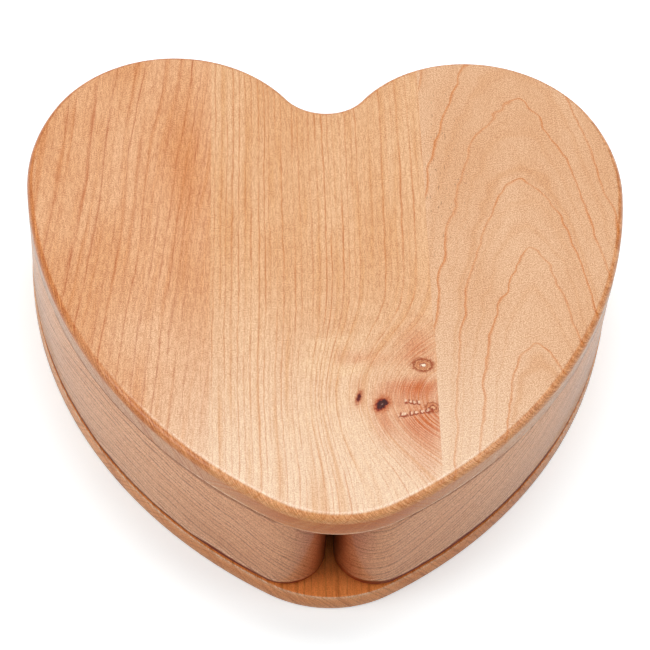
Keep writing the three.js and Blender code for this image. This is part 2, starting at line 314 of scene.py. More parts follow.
# Lamps all face the middle of the box; places and sizes are in metres, power in watts
lamps = [
    {"name": "overheadSoftbox", "place": (0.1, 0.6, 1.9), "size": (1.3, 0.7), "power": 18},
    {"name": "leftSoftbox", "place": (-1.65, -0.4, 1.2), "size": (1.0, 0.9), "power": 10.2},
    {"name": "rightSoftbox", "place": (1.65, -0.4, 1.2), "size": (1.0, 0.9), "power": 5.4},
]
for lamp in lamps:
    light = bpy.data.lights.new(lamp["name"], "AREA")
    light.shape = "RECTANGLE"
    light.size, light.size_y = lamp["size"]
    light.energy = lamp["power"]
    lightObject = addObject(lamp["name"], light)
    lightObject.location = lamp["place"]
    lightObject.rotation_euler = (-Vector(lamp["place"])).to_track_quat("-Z", "Y").to_euler()

studio = {
    "glowLow": 0.12,  # of the white surround near the ground
    "glowHigh": 0.48,
    "glowRise": 0.8,
    "paper": "F0F6F8",
    "paperLift": 0.39,
    "paperReach": 3,  # metres
    "paperDrop": 0.2,  # a hair below the box, so the two faces don't fight when seen from underneath
}
world = bpy.data.worlds.new("studio")
world.use_nodes = True
world.node_tree.nodes.clear()
node = partial(put, world.node_tree)
rayWay = node("apart", node("ShaderNodeTexCoord"))
glow = node("slope", rayWay.outputs["Z"], 0.0, studio["glowRise"], studio["glowLow"], studio["glowHigh"])
surround = node("ShaderNodeBackground", {"Color": "FFFFFF", "Strength": glow})
backdrop = node("ShaderNodeBackground", {"Color": "FFFFFF", "Strength": 1.0})
seenDirectly = node("ShaderNodeLightPath").outputs["Is Camera Ray"]
chosen = node("ShaderNodeMixShader", seenDirectly, surround, backdrop)
node("ShaderNodeOutputWorld", {"Surface": chosen})
scene.world = world

floorMesh = bmesh.new()
bmesh.ops.create_grid(floorMesh, x_segments=1, y_segments=1, size=studio["paperReach"])
bmesh.ops.translate(floorMesh, verts=floorMesh.verts, vec=(0, 0, -studio["paperDrop"] * mm))
floor = finishPiece("floor", floorMesh)
# White paper sweep, matt: lifted to clean white where the camera sees it, and the box's shadow stays on it
floorPaper, node = emptyMaterial("whitePaperSweep")
paper = node("ShaderNodeBsdfDiffuse", {"Color": studio["paper"]})
paperLift = node("ShaderNodeEmission", {"Color": "FFFFFF", "Strength": studio["paperLift"]})
paperLifted = node("ShaderNodeAddShader", paper, paperLift)
seenDirectly = node("ShaderNodeLightPath").outputs["Is Camera Ray"]
node("ShaderNodeOutputMaterial", {"Surface": node("ShaderNodeMixShader", seenDirectly, paper, paperLifted)})
floor.data.materials.append(floorPaper)

print("stage 2: wood pieces")

edges = {
    "lidRoundOver": 3.0,
    "roundOverSteps": 12,
    "easing": 0.6,
    "easingSteps": 3,
    "flatMargin": 0.4,  # level ring inside the round-over, which keeps the flat top's shading flat
}
lidTop = lidHigh[2]


# The heart as one board, eased below and rounded above
def boardBlank(bottom, top, radius, steps):
    return loft(heartOutline, [
        (edges["easing"] + edges["flatMargin"], bottom),
        *easedBelow(edges["easing"], edges["easingSteps"], bottom),
        *quarterRound(radius, steps, top),
        (radius + edges["flatMargin"], top),
    ])


lidBlank = boardBlank(lidLow[2], lidTop, edges["lidRoundOver"], edges["roundOverSteps"])
baseBlank = boardBlank(baseLow[2], baseHigh[2], edges["easing"], edges["easingSteps"])
pieces = {}
for board, blank, lines in (("lid", lidBlank, lidGlueLines), ("base", baseBlank, baseGlueLines)):
    spans = {"Left": (None, lines[0]), "Middle": (lines[0], lines[1]), "Right": (lines[1], None)}
    for side, (left, right) in spans.items():
        name = f"{board}Stave{side}"
        pieces[name] = finishPiece(name, between(blank, left, right))
    blank.free()

drawer = {
    "setback": 0.3,  # of its side from the edge of the lid
    "innerFace": 1.3,  # from the centre line
    "wall": 8.0,
    "fingerRadius": 13.5,
    "corner": 4.0,
    "stepInside": 4.8,  # hollow corner round the centre block
    "stepX": 14.8,
    "stepGap": 0.8,
    "cutter": 6.0,
    "boss": 13.0,
    "pivotSetback": 16.0,
    "floorFillet": 1.6,
    "filletSteps": 4,
    "rimEasing": 0.8,
    "rimSteps": 3,
}
pivot = (lobeCentre[0], lobeCentre[1] + heart["lobeRadius"] - drawer["pivotSetback"])
stepY = blockLow[1] - drawer["stepGap"]


# Centre of a rounding between an upright face at x and an arc
def faceFillet(x, arc, radius, side):
    centreX = x + radius
    reach = arc["radius"] - radius
    centreY = arc["centre"][1] + side * math.sqrt(reach**2 - (centreX - arc["centre"][0]) ** 2)
    return (centreX, centreY)


# The two arcs of the step round the centre block
def blockStep(faceX, stepX, stepY, insideRadius, outsideRadius):
    inside = (stepX - insideRadius, stepY + insideRadius)
    outside = (faceX + outsideRadius, stepY - outsideRadius)
    return [hollow(inside, insideRadius, 0, -math.pi / 2),
            bulge(outside, outsideRadius, math.pi / 2, math.pi)]


drawerFlank = inward(flankArc, drawer["setback"])
drawerLobe = inward(lobeArc, drawer["setback"])
fingerCentre = faceFillet(drawer["innerFace"], drawerFlank, drawer["fingerRadius"], -1)
fingerEnd = heading(flankCentre, fingerCentre)
drawerFront = [
    bulge(fingerCentre, drawer["fingerRadius"], math.pi, fingerEnd),
    {**drawerFlank, "start": fingerEnd},
    inward(shoulderArc, drawer["setback"]),
]
drawerBack = faceFillet(drawer["stepX"], drawerLobe, drawer["corner"], 1)
drawerBackTurn = heading(lobeCentre, drawerBack)
drawerPlan = drawerFront + [
    {**drawerLobe, "end": drawerBackTurn},
    bulge(drawerBack, drawer["corner"], drawerBackTurn, math.pi),
] + blockStep(drawer["innerFace"], drawer["stepX"], stepY, drawer["stepInside"], drawer["corner"])

pocketLobe = inward(drawerLobe, drawer["wall"])
besideBoss = meet(
    pivot, drawer["boss"] + drawer["cutter"], lobeCentre, pocketLobe["radius"] - drawer["cutter"]
)
beyondBoss = (2 * pivot[0] - besideBoss[0], besideBoss[1])
pocketFaceX = drawer["stepX"] + drawer["wall"]
pocketBack = faceFillet(pocketFaceX, pocketLobe, drawer["cutter"], 1)
pocketBackTurn = heading(lobeCentre, pocketBack)
pocketPlan = [inward(arc, drawer["wall"]) for arc in drawerFront] + [
    {**pocketLobe, "end": heading(lobeCentre, besideBoss)},
    bulge(besideBoss, drawer["cutter"], heading(lobeCentre, besideBoss), heading(besideBoss, pivot)),
    hollow(pivot, drawer["boss"], heading(pivot, besideBoss), heading(pivot, beyondBoss)),
    bulge(beyondBoss, drawer["cutter"], heading(beyondBoss, pivot), heading(lobeCentre, beyondBoss)),
    {**pocketLobe, "start": heading(lobeCentre, beyondBoss), "end": pocketBackTurn},
    bulge(pocketBack, drawer["cutter"], pocketBackTurn, math.pi),
] + blockStep(
    drawer["innerFace"] + drawer["wall"], pocketFaceX, stepY - drawer["wall"],
    drawer["cutter"], drawer["cutter"],
)


# Takes the cutters away from a piece with booleans, applied at once
def carve(piece, cutters):
    for cutter in cutters:
        modifier = piece.modifiers.new("cut", "BOOLEAN")
        modifier.operation = "DIFFERENCE"
        modifier.solver = "EXACT"
        modifier.object = cutter
    graph = bpy.context.evaluated_depsgraph_get()
    data = bpy.data.meshes.new_from_object(piece.evaluated_get(graph))
    piece.modifiers.clear()
    piece.data = data
    for cutter in cutters:
        bpy.data.objects.remove(cutter)
    data.set_sharp_from_angle(angle=creases["wood"])


overrun = 1.0  # of a cutter past the face it opens
felt = {
    "footInset": 0.4,
    # upper edge, softened: (inset from the pocket's wall, depth below the top)
    "upperEdge": [(0.3, 0.4), (0.45, 0.1), (0.7, 0.0), (1.2, 0.0)],
}
floorLevel, linerTop = linerLow[2], linerHigh[2]
rim = drawer["rimEasing"]
rimAngles = [math.pi / 2 / drawer["rimSteps"] * step for step in range(drawer["rimSteps"] + 1)]
pocketSlices = easedBelow(drawer["floorFillet"], drawer["filletSteps"], floorLevel) + [
    (-rim * (1 - math.cos(angle)), drawerHigh[2] - rim + rim * math.sin(angle)) for angle in rimAngles
] + [(-rim, drawerHigh[2] + overrun)]
linerSlices = [(felt["footInset"], floorLevel)] + [
    (inset, linerTop - below) for inset, below in felt["upperEdge"]
]
for side, facing in (("Left", mirrored), ("Right", list)):
    pieces[f"drawer{side}"] = finishPiece(f"drawer{side}", loft(
        facing(drawerPlan),
        easedBelow(edges["easing"], edges["easingSteps"], drawerLow[2])
        + quarterRound(edges["easing"], edges["easingSteps"], drawerHigh[2]),
    ))
    pocket = loft(facing(pocketPlan), pocketSlices)
    carve(pieces[f"drawer{side}"], [finishPiece("pocket", pocket)])
    pieces[f"feltLiner{side}"] = finishPiece(
        f"feltLiner{side}", loft(facing(pocketPlan), linerSlices), creases["felt"]
    )

block = {"setback": 0.3, "corner": 4.0}
blockHalf = blockHigh[0]
blockCornerCentre = (blockHalf - block["corner"], blockLow[1] + block["corner"])
lobeSide = (lobeCentre[0] - blockHalf) / (heart["lobeRadius"] - block["setback"])
blockPlan = [
    bulge(blockCornerCentre, block["corner"], -math.pi / 2, 0),
    {**inward(lobeArc, block["setback"]), "start": math.pi - math.acos(lobeSide)},
    inward(cleftArc, block["setback"]),
]
pieces["centreBlock"] = finishPiece("centreBlock", loft(
    blockPlan + mirrored(blockPlan), [(0, blockLow[2]), (0, blockHigh[2])],
))

print("stage 3: pins, dowels and screws")


# Turned solid from pairs of radius and height, starting and ending on the axis unless it is a ring
def turned(name, centre, profile, sides=48):
    mesh = bmesh.new()
    loops = []
    for radius, z in profile:
        ring = []
        for step in range(sides if radius else 1):
            angle = 2 * math.pi * step / sides
            x, y = centre[0] + radius * math.cos(angle), centre[1] + radius * math.sin(angle)
            ring.append(mesh.verts.new((x * mm, y * mm, z * mm)))
        loops.append(ring if radius else ring * sides)
    closing = [] if profile[0][0] == 0 else [(loops[-1], loops[0])]
    for lower, upper in list(zip(loops, loops[1:])) + closing:
        for step in range(sides):
            after = (step + 1) % sides
            corners = [lower[step], lower[after], upper[after], upper[step]]
            mesh.faces.new(list(dict.fromkeys(corners)))
    return finishPiece(name, mesh, creases["turned"])


def middleOf(node):
    low, high = millimetres(node)
    return ((low[0] + high[0]) / 2, (low[1] + high[1]) / 2), low[2], high[2]


fit = 0.3  # left round every pin, screw and dowel


def boreThrough(holders, centre, profile):
    for holder in holders:
        carve(pieces[holder], [turned("bore", centre, profile)])


# Rod with chamfered ends, and its bore in the pieces that hold it
def setRod(node, rod, holders):
    centre, foot, head = middleOf(node)
    radius, chamfer = rod["radius"], rod["chamfer"]
    pieces[pieceName(node)] = turned(pieceName(node), centre, [
        (0, foot), (radius - chamfer, foot), (radius, foot + chamfer),
        (radius, head - chamfer), (radius - chamfer, head), (0, head),
    ])
    bore = radius + fit
    boreThrough(holders, centre, [(0, foot - fit), (bore, foot - fit), (bore, head + fit), (0, head + fit)])


pin = {"radius": 3.0, "chamfer": 0.5}
for side in ("left", "right"):
    setRod(f"pivot_pin_{side}", pin,
           [holder + side.capitalize() for holder in ("lidStave", "baseStave", "drawer")])

dowel = {"radius": 3.0, "chamfer": 0.6}
screw = {
    "radius": 1.75,
    "root": 1.25,  # radius between the threads
    "headRadius": 3.5,
    "headHeight": 2.0,
    "headRim": [(0.2, 0), (0, 0.15), (0, 0.4)],  # (inset from the head's radius, height)
    "plainPart": 3,  # the thread starts at one part in this many of the length
    "threadGap": 0.5,
    "threadFoot": 0.55,  # of a turn of the thread, as shares of the pitch
    "threadCrest": 0.8,
    "pitch": 1.6,
    "tip": 3.0,
    "point": 0.3,
    "sides": 32,
    "count": 2,
    "turn": 0.9,  # of the recess from one screw to the next
}
for place in ("front", "back"):
    setRod(f"lid_dowel_{place}", dowel, ("lidStaveMiddle", "centreBlock"))
    centre, foot, head = middleOf(f"block_screw_{place}")
    headBore, shankBore = screw["headRadius"] + fit, screw["radius"] + fit
    boreThrough(("baseStaveMiddle", "centreBlock"), centre, [
        (0, foot - overrun), (headBore, foot - overrun), (headBore, foot + fit),
        (shankBore, foot + screw["headHeight"] + fit), (shankBore, head - screw["tip"] + fit),
        (0, head + fit),
    ])

washer = {"easing": 0.25}  # share of its thickness
for side in ("left", "right"):
    for place in ("lower", "upper"):
        node = f"{place}_washer_{side}"
        centre, low, high = middleOf(node)
        ease = (high - low) * washer["easing"]
        inner = pin["radius"] + fit
        outer = millimetres(node)[1][0] - centre[0]
        pieces[pieceName(node)] = turned(pieceName(node), centre, [
            (inner, low + ease), (inner + ease, low), (outer - ease, low), (outer, low + ease),
            (outer, high - ease), (outer - ease, high), (inner + ease, high), (inner, high - ease),
        ])

# One countersunk screw with a cross recess; a node tree sets the row of them under the block
screwMiddle, screwFoot, screwHead = middleOf("block_screw_front")
screwLength = screwHead - screwFoot
screwSpacing = math.dist(screwMiddle, middleOf("block_screw_back")[0])
plainLength = screwLength / screw["plainPart"]
threadStart = plainLength + screw["threadGap"]
threadCount = int((screwLength - screw["tip"] - threadStart) / screw["pitch"])
shank = [(0, 0)] + [(screw["headRadius"] - inset, level) for inset, level in screw["headRim"]]
shank += [(screw["radius"], screw["headHeight"]), (screw["radius"], plainLength)]
for turn in range(threadCount):
    level = threadStart + turn * screw["pitch"]
    shank += [(screw["root"], level), (screw["root"], level + screw["pitch"] * screw["threadFoot"]),
              (screw["radius"], level + screw["pitch"] * screw["threadCrest"])]
shank += [(screw["root"], screwLength - screw["tip"]), (screw["point"], screwLength - screw["point"]),
          (0, screwLength)]
screwModel = turned("screwModel", (0, 0), shank, screw["sides"])
recess = {"length": 3.6, "width": 0.9, "depth": 1.5, "taper": 0.55}
for turn in (0, math.pi / 2):
    slot = bmesh.new()
    bmesh.ops.create_cube(slot, size=mm)
    for vertex in slot.verts:
        taper = recess["taper"] if vertex.co.z > 0 else 1.0
        vertex.co.x *= recess["length"] * taper
        vertex.co.y *= recess["width"] * taper
        vertex.co.z *= 2 * recess["depth"]
    bmesh.ops.rotate(slot, verts=slot.verts, cent=(0, 0, 0), matrix=Matrix.Rotation(turn, 3, "Z"))
    carve(screwModel, [finishPiece("recess", slot)])

screwTree = bpy.data.node_groups.new("rowOfScrews", "GeometryNodeTree")
for socketName, kind, direction in (
    ("Screw", "NodeSocketObject", "INPUT"), ("Finish", "NodeSocketMaterial", "INPUT"),
    ("Count", "NodeSocketInt", "INPUT"), ("First place", "NodeSocketVector", "INPUT"),
    ("Step", "NodeSocketVector", "INPUT"), ("Turn of each", "NodeSocketFloat", "INPUT"),
    ("Row", "NodeSocketGeometry", "OUTPUT"),
):
    screwTree.interface.new_socket(socketName, in_out=direction, socket_type=kind)

node = partial(put, screwTree)
given = node("NodeGroupInput").outputs
oneScrew = node("GeometryNodeObjectInfo", {"Object": given["Screw"]}).outputs["Geometry"]
row = node("GeometryNodeMeshLine", {
    "Count": given["Count"], "Start Location": given["First place"], "Offset": given["Step"],
})
turnOfEach = node("multiply", node("GeometryNodeInputIndex"), given["Turn of each"])
placed = node("GeometryNodeInstanceOnPoints", {
    "Points": row, "Instance": oneScrew, "Rotation": node("joined", 0.0, 0.0, turnOfEach),
})
real = node("GeometryNodeRealizeInstances", {"Geometry": placed})
finished = node("GeometryNodeSetMaterial", {"Geometry": real, "Material": given["Finish"]})
node("NodeGroupOutput", {"Row": finished})

print("stage 4: finishes")


# Scaling that gives a pattern cells of this size in millimetres, across and along the boards
def cells(across, along):
    return (1 / across, 1 / along, 1 / across)


def grain(node, place, size, detail):
    return node("noise", node("stretch", place, cells(*size)), 1.0, detail)


# Grain that goes from none to full between two noise values
def pattern(node, place, size, detail, edge, *ends):
    return node("spread", grain(node, place, size, detail), *edge, *ends)


# Grain that goes as far to one side of nothing as to the other
def wobble(node, place, size, detail, amount):
    return node("multiply", node("subtract", grain(node, place, size, detail), 0.5), amount)


def squares(node, first, second):
    return node("add", node("multiply", first, first), node("multiply", second, second))


# Square of the distance from a centre, one at the end of the reach in x and y
def farSquared(node, x, y, centre, reach, lean=0.0):
    ahead = node("subtract", y, centre[1])
    aside = node("subtract", node("subtract", x, centre[0]), node("multiply", ahead, lean))
    return squares(node, node("divide", aside, reach[0]), node("divide", ahead, reach[1]))


# One at the centre, falling off smoothly over the reach
def bell(node, x, y, centre, reach):
    return node("exponent", node("multiply", farSquared(node, x, y, centre, reach), -1.0))


# What all lacquered boards share, in millimetres; a pair is where something starts and where it is full
timber = {
    "jitterAcross": 3.0,
    "unevenOver": 2.7,  # rings
    "fadeAcross": 0.8,  # of a ring, and along it: a ring line fades and comes back
    "fadeAlong": 38.0,
    "patchSize": (24.0, 80.0),
    "palerAlong": (12.0, -95.0),
    "palerAcross": (80.0, 40.0),
    "palerColour": "F6D6B8",
    "deepAcross": (75.0, 5.0),
    "deepAlong": (-20.0, -70.0),
    "deepColour": "C2662A",
    "arrisWidth": (0.55, 0.25),
    "arrisColour": "FFE0C0",
    "seamUnderLid": (-0.9, -0.6, 0.0, 0.45),
    "seamOverBase": (1.8, 1.4),
    "seamColour": "7A2406",
    "cutFibre": (0.38, 9.0, 3.0),  # about four times as coarse as real fibres, to show
    "cutLean": 1.3,
    "fibreSize": (0.45, 2.8),
    "gritSize": (0.36, 0.5),
    "reliefDepth": 0.4,
    "roughness": (0.36, 0.44),
    "coat": 0.7,
}


# Alder, planed, sanded and lacquered: a clear coat with soft highlights over wood that stays fairly dull.
# The figure gives each point its depth in the growth rings; shades lie under the ring lines, features over.
def wood(name, look, figure, shades=(), features=()):
    material, node = emptyMaterial(name)
    coordinates = node("ShaderNodeTexCoord")
    # the place is in millimetres, y along the boards
    place = node("stretch", coordinates.outputs["Object"], (1 / mm, 1 / mm, 1 / mm))
    place = node("shift", place, look["offset"])

    # slow wander and fine jitter of the grain, each from -0.5 to 0.5, then the ring depth in millimetres
    slow = grain(node, place, (look["wanderAcross"], look["wanderAlong"]), 1.0)
    fine = grain(node, place, (timber["jitterAcross"], look["jitterAlong"]), 2.0)
    wander = node("stretch", node("shift", slow.outputs["Color"], (-0.5, -0.5, -0.5)), look["wander"])
    jitter = node("shift", fine.outputs["Color"], (-0.5, -0.5, -0.5))
    jitter = node("stretch", jitter, (look["jitter"], 0, look["jitter"]))
    axes = node("apart", node("shift", node("shift", place, wander), jitter))
    x, y, z = (axes.outputs[axis] for axis in ("X", "Y", "Z"))
    depth, slope = figure(node, place, x, y, z)

    # rings at uneven spacing, each with its own strength; one side of a line is soft, the other crisp
    spacing = look["spacing"]
    unevenRow = node("divide", depth, spacing * timber["unevenOver"])
    uneven = node("subtract", node("rowNoise", unevenRow, 1.0, 1.0), 0.5)
    rings = node("add", node("divide", depth, spacing), node("multiply", uneven, look["uneven"]))
    nearest = node("round", rings)
    away = node("divide", node("multiply", node("subtract", rings, nearest), spacing), slope)
    rank = node("ShaderNodeTexWhiteNoise", nearest, noise_dimensions="1D")
    fadeSize = (spacing * timber["fadeAcross"], timber["fadeAlong"])
    lineMask = node(
        "multiply", node("spread", away, -look["lineSoft"], 0.0),
        node("spread", away, look["lineCrisp"], 0.0),
        node("slope", rank, 0.0, 1.0, look["rankFloor"], 1.0),
        pattern(node, place, fadeSize, 2.0, (0.35, 0.6), look["lineFloor"], 1.0), look["lineDepth"],
    )

    # tone: broad patches, the lid paler towards the tip of the heart, upright faces plainer
    normal = node("apart", coordinates.outputs["Normal"])
    level = node("absolute", normal.outputs["Z"])
    upright = node("spread", level, 0.45, 0.1)
    lineMask = node("multiply", lineMask, node("slope", upright, 0.0, 1.0, 1.0, look["sideLines"]))
    patch = pattern(node, place, timber["patchSize"], 2.0, (0.35, 0.65))
    tone = node("blend", patch, look["pale"], look["warm"])
    fromMiddle = node("absolute", x)
    paler = node("multiply", node("spread", y, *timber["palerAlong"]),
                 node("spread", fromMiddle, *timber["palerAcross"]), look["paleTip"])
    tone = node("blend", paler, tone, timber["palerColour"])
    tone = node("blend", node("multiply", upright, 0.85), tone, look["upright"])
    nearTip = node("multiply", node("spread", fromMiddle, *timber["deepAcross"]),
                   node("spread", y, *timber["deepAlong"]))
    tone = node("blend", node("multiply", upright, nearTip, look["deepTip"]), tone, timber["deepColour"])

    # lower arrises: rubbed pale, with a line of dark finish right at the edge and under the lid
    fromEdge = node("absolute", node("subtract", z, look["arris"] + look["arrisUp"]))
    arris = node("multiply", node("spread", fromEdge, *timber["arrisWidth"]), upright, look["arrisPale"])
    tone = node("blend", arris, tone, timber["arrisColour"])
    seam = node("add", node("spread", node("subtract", z, drawerHigh[2]), *timber["seamUnderLid"]),
                node("spread", node("subtract", z, drawerLow[2]), *timber["seamOverBase"]))
    seam = node("multiply", seam, node("spread", level, 0.95, 0.8), look["seam"])
    tone = node("blend", seam, tone, timber["seamColour"])

    # rounded edges cut through the fibres, which show as short slanted lines
    slanted = node("joined", node("add", x, node("multiply", z, timber["cutLean"])), y, z)
    cutScale = [1 / length for length in timber["cutFibre"]]
    cutFibre = node("spread", node("noise", node("stretch", slanted, cutScale), 1.0, 1.0), 0.3, 0.68)
    cutColour = node("blend", cutFibre, look["edge"], look["edgeFibre"])
    rounded = node("multiply", node("spread", level, 0.99, 0.9), node("spread", level, 0.03, 0.25),
                   look["edgeDepth"])
    tone = node("blend", rounded, tone, cutColour)

    # streaks that follow the rings, then the lines
    streakPlace = node("joined", node("divide", depth, look["streakWidth"]),
                       node("divide", y, look["streakLength"]))
    streak = node("spread", node("noise", streakPlace, 1.0, 3.0), 0.46, 0.72)
    tone = node("blend", node("multiply", streak, look["streakDepth"]), tone, look["streak"])
    for shade in shades:
        tone = shade(node, place, tone, x, y, z)
    keptLines = node("slope", paler, 0.0, 1.0, 1.0, 0.55)
    tone = node("blend", node("multiply", lineMask, keptLines), tone, look["line"])
    if look["log"]:
        # growth rings cut across, round the middle of the log the board came from
        aside, above = (node("subtract", part, middle) for part, middle in zip((x, z), look["log"]))
        fromLog = node("sqrt", squares(node, aside, above))
        logRings = node("rowNoise", node("divide", fromLog, look["endSpacing"]), 1.0, 1.0)
        endLines = node("multiply", node("spread", logRings, 0.48, 0.66), upright, look["endDepth"])
        tone = node("blend", endLines, tone, look["line"])
    for feature in features:
        tone = feature(node, place, tone, x, y, z)

    # fibre and pores darken the wood in fine warm flecks, drawn about twice as coarse as real ones to show;
    # the tone is first raised by what they take away on average
    fibre = pattern(node, place, timber["fibreSize"], 2.0, (0.34, 0.66))
    grit = pattern(node, place, timber["gritSize"], 1.0, (0.34, 0.66))
    flecks = node("add", node("multiply", fibre, look["fibre"]), node("multiply", grit, look["grit"]))
    meanFlecks = (look["fibre"] + look["grit"]) / 2
    lift = [1 / (1 - meanFlecks * (1 - share)) for share in linear(look["fleck"])[:3]]
    flecks = node("multiply", flecks, node("spread", paler, 0.0, 1.0, 1.0, 0.6))
    colour = node("blend", flecks, node("stretch", tone, lift), look["fleck"], blend_type="MULTIPLY")

    height = node("multiply", node("add", fibre, lineMask), -0.2)
    relief = node("ShaderNodeBump", {
        "Height": height, "Strength": 0.12, "Distance": timber["reliefDepth"] * mm,
    })
    # the dark finish in the seams is dull
    shader = node("ShaderNodeBsdfPrincipled", {
        "Base Color": colour, "Roughness": node("slope", fibre, 0.0, 1.0, *timber["roughness"]),
        "Normal": relief, "Specular IOR Level": 0.15, "Coat Roughness": 0.13, "Coat IOR": 1.36,
        "Coat Weight": node("slope", seam, 0.0, 1.0, timber["coat"], 0.0),
    })
    node("ShaderNodeOutputMaterial", {"Surface": shader})
    return material


# Flat growth layers, the ring depth rising by these shares along x, y and z
def flatFigure(*shares):
    def figure(node, place, *axes):
        return node("add", *(node("multiply", axis, share) for axis, share in zip(axes, shares))), 1.0
    return figure


# What a board's look says, with what most of them share: lengths in millimetres, depths from 0 to 1
boardLook = {
    "offset": (0, 0, 0),
    "wander": (3.0, 0, 2.0),  # how far the grain strays over the next two lengths
    "wanderAcross": 30.0,
    "wanderAlong": 80.0,
    "jitter": 0.8,  # fine waviness of the lines
    "jitterAlong": 6.0,
    "spacing": 2.4,  # of the growth rings
    "uneven": 0.9,
    "lineSoft": 0.6,  # width of a ring line to each side of its middle
    "lineCrisp": 0.3,
    "lineDepth": 0.74,
    "lineFloor": 0.3,  # what is left of a line where it fades, and of the weakest ring
    "rankFloor": 0.3,
    "streakWidth": 2.6,
    "streakLength": 60.0,
    "streakDepth": 0.45,
    "fibre": 0.22,  # depth of the long flecks and of the short ones
    "grit": 0.44,
    "fleck": "BC7A3E",
    "upright": "E2B088",  # colour of upright faces, and what is left of the lines there
    "sideLines": 0.25,
    "edge": "F2AE78",
    "edgeFibre": "CC7E46",
    "edgeDepth": 0.95,
    "paleTip": 0.0,
    "deepTip": 1.0,
    "arris": lidLow[2],  # height of the lower arris, and of its pale line over that
    "arrisUp": 0.65,
    "arrisPale": 0.8,
    "seam": 0.0,
    "log": None,  # middle of the log in x and z, where end grain shows
    "endSpacing": 0.9,
    "endDepth": 0.5,
}
# Alder, redder than the rest, with strong wavy lines
leftStave = dict(
    boardLook, wander=(5.0, 0, 3.0), wanderAlong=70.0, jitter=1.1, jitterAlong=18.0,
    spacing=3.2, uneven=1.6, lineSoft=0.8, lineDepth=0.64, rankFloor=0.2,
    pale="E9B184", warm="E0A06E", line="B44C08", streak="CE7630", streakWidth=2.4,
    streakLength=85.0, streakDepth=0.42, fibre=0.26, edge="EA9C60", edgeFibre="C06C36",
    paleTip=0.62, log=(-86.0, 18.0),
)
# Alder with straight quiet lines, which swing round a group of knots
middleStave = dict(
    boardLook, wander=(2.2, 0, 2.0), wanderAcross=40.0, wanderAlong=120.0, jitter=0.7,
    jitterAlong=10.0, spacing=2.1, lineDepth=0.76, lineFloor=0.35, rankFloor=0.25,
    pale="EBB98C", warm="E4AC7C", line="CC6C1E", streak="DA9456", streakWidth=3.0,
    streakLength=70.0, paleTip=0.7, log=(-12.0, 8.0),
)
# Pale alder sawn across its layers: thin jagged arches on an even, finely speckled ground
rightStave = dict(
    boardLook, wander=(1.5, 3.0, 1.0), wanderAcross=18.0, wanderAlong=22.0, jitter=0.5,
    jitterAlong=4.0, spacing=7.65, uneven=0.0, lineSoft=1.25, lineCrisp=0.42,
    lineDepth=0.72, lineFloor=0.6, rankFloor=1.0, pale="E9B991", warm="E2AD82",
    line="D67A30", streak="D99A68", streakLength=400.0, fibre=0.1, grit=0.52,
    paleTip=0.6, log=(62.0, 20.0),
)
# Alder that took up more of the finish: a deeper orange, with a pale worn rim
baseBoard = dict(
    boardLook, offset=(37, 12, 5), uneven=0.8, lineDepth=0.6, pale="FFA65E",
    warm="FA9850", line="A45420", streak="C86E32", streakDepth=0.5, grit=0.3,
    fleck="B87848", upright="FFB478", sideLines=0.3, edge="FFE2C0", edgeFibre="F0B080",
    edgeDepth=0.9, deepTip=0.3, arrisPale=0.0, log=(8.0, -22.0), endSpacing=0.8,
    endDepth=0.3,
)
# Solid alder blocks: greyer sides with thin brown lines that rise across them, and dark seams
drawerBlock = dict(
    boardLook, wander=(4.0, 4.0, 3.0), wanderAcross=20.0, wanderAlong=26.0,
    jitterAlong=5.0, spacing=2.0, uneven=1.4, lineSoft=0.85, lineCrisp=0.35,
    lineFloor=0.45, rankFloor=0.35, pale="E4B088", warm="D89B70", line="8A4822",
    streak="C47C50", streakWidth=3.2, streakDepth=0.3, grit=0.42, fleck="B07044",
    upright="F8BA8E", sideLines=1.0, edgeDepth=0.0, deepTip=0.35,
    arris=drawerLow[2], arrisUp=2.4, arrisPale=0.3, seam=1.0,
)

arch = {
    "ragged": 3.4,
    "raggedSize": (11.0, 11.0),
    "middle": 69.5,
    "outward": 1.2,  # the outer half of an arch is this much steeper than the inner
    "top": 79.9,  # the place in y where the growth layer is as deep in the log as the next value
    "depth": 41.0,
    "slant": 0.214,  # of the layers, along the board and through it
    "through": 0.9,
    "flare": 3.5,
}


# A slanted log cut near its heart: jagged arches one above the other, 35 mm apart
def archFigure(node, place, x, y, z):
    ragged = wobble(node, place, arch["raggedSize"], 1.5, arch["ragged"])
    aside = node("subtract", x, arch["middle"])
    aside = node("add", node("multiply", node("maximum", aside, 0.0), arch["outward"]),
                 node("multiply", node("minimum", aside, 0.0), -1.0))
    rise = node("add", node("multiply", node("subtract", y, arch["top"]), arch["slant"]), arch["depth"],
                node("multiply", node("subtract", z, lidTop), arch["through"]))
    reach = node("sqrt", node("add", squares(node, aside, rise), node("multiply", aside, arch["flare"])))
    steep = node("sqrt", squares(node, aside, node("multiply", rise, arch["slant"])))
    return node("add", reach, ragged, -arch["depth"]), node("divide", steep, reach)


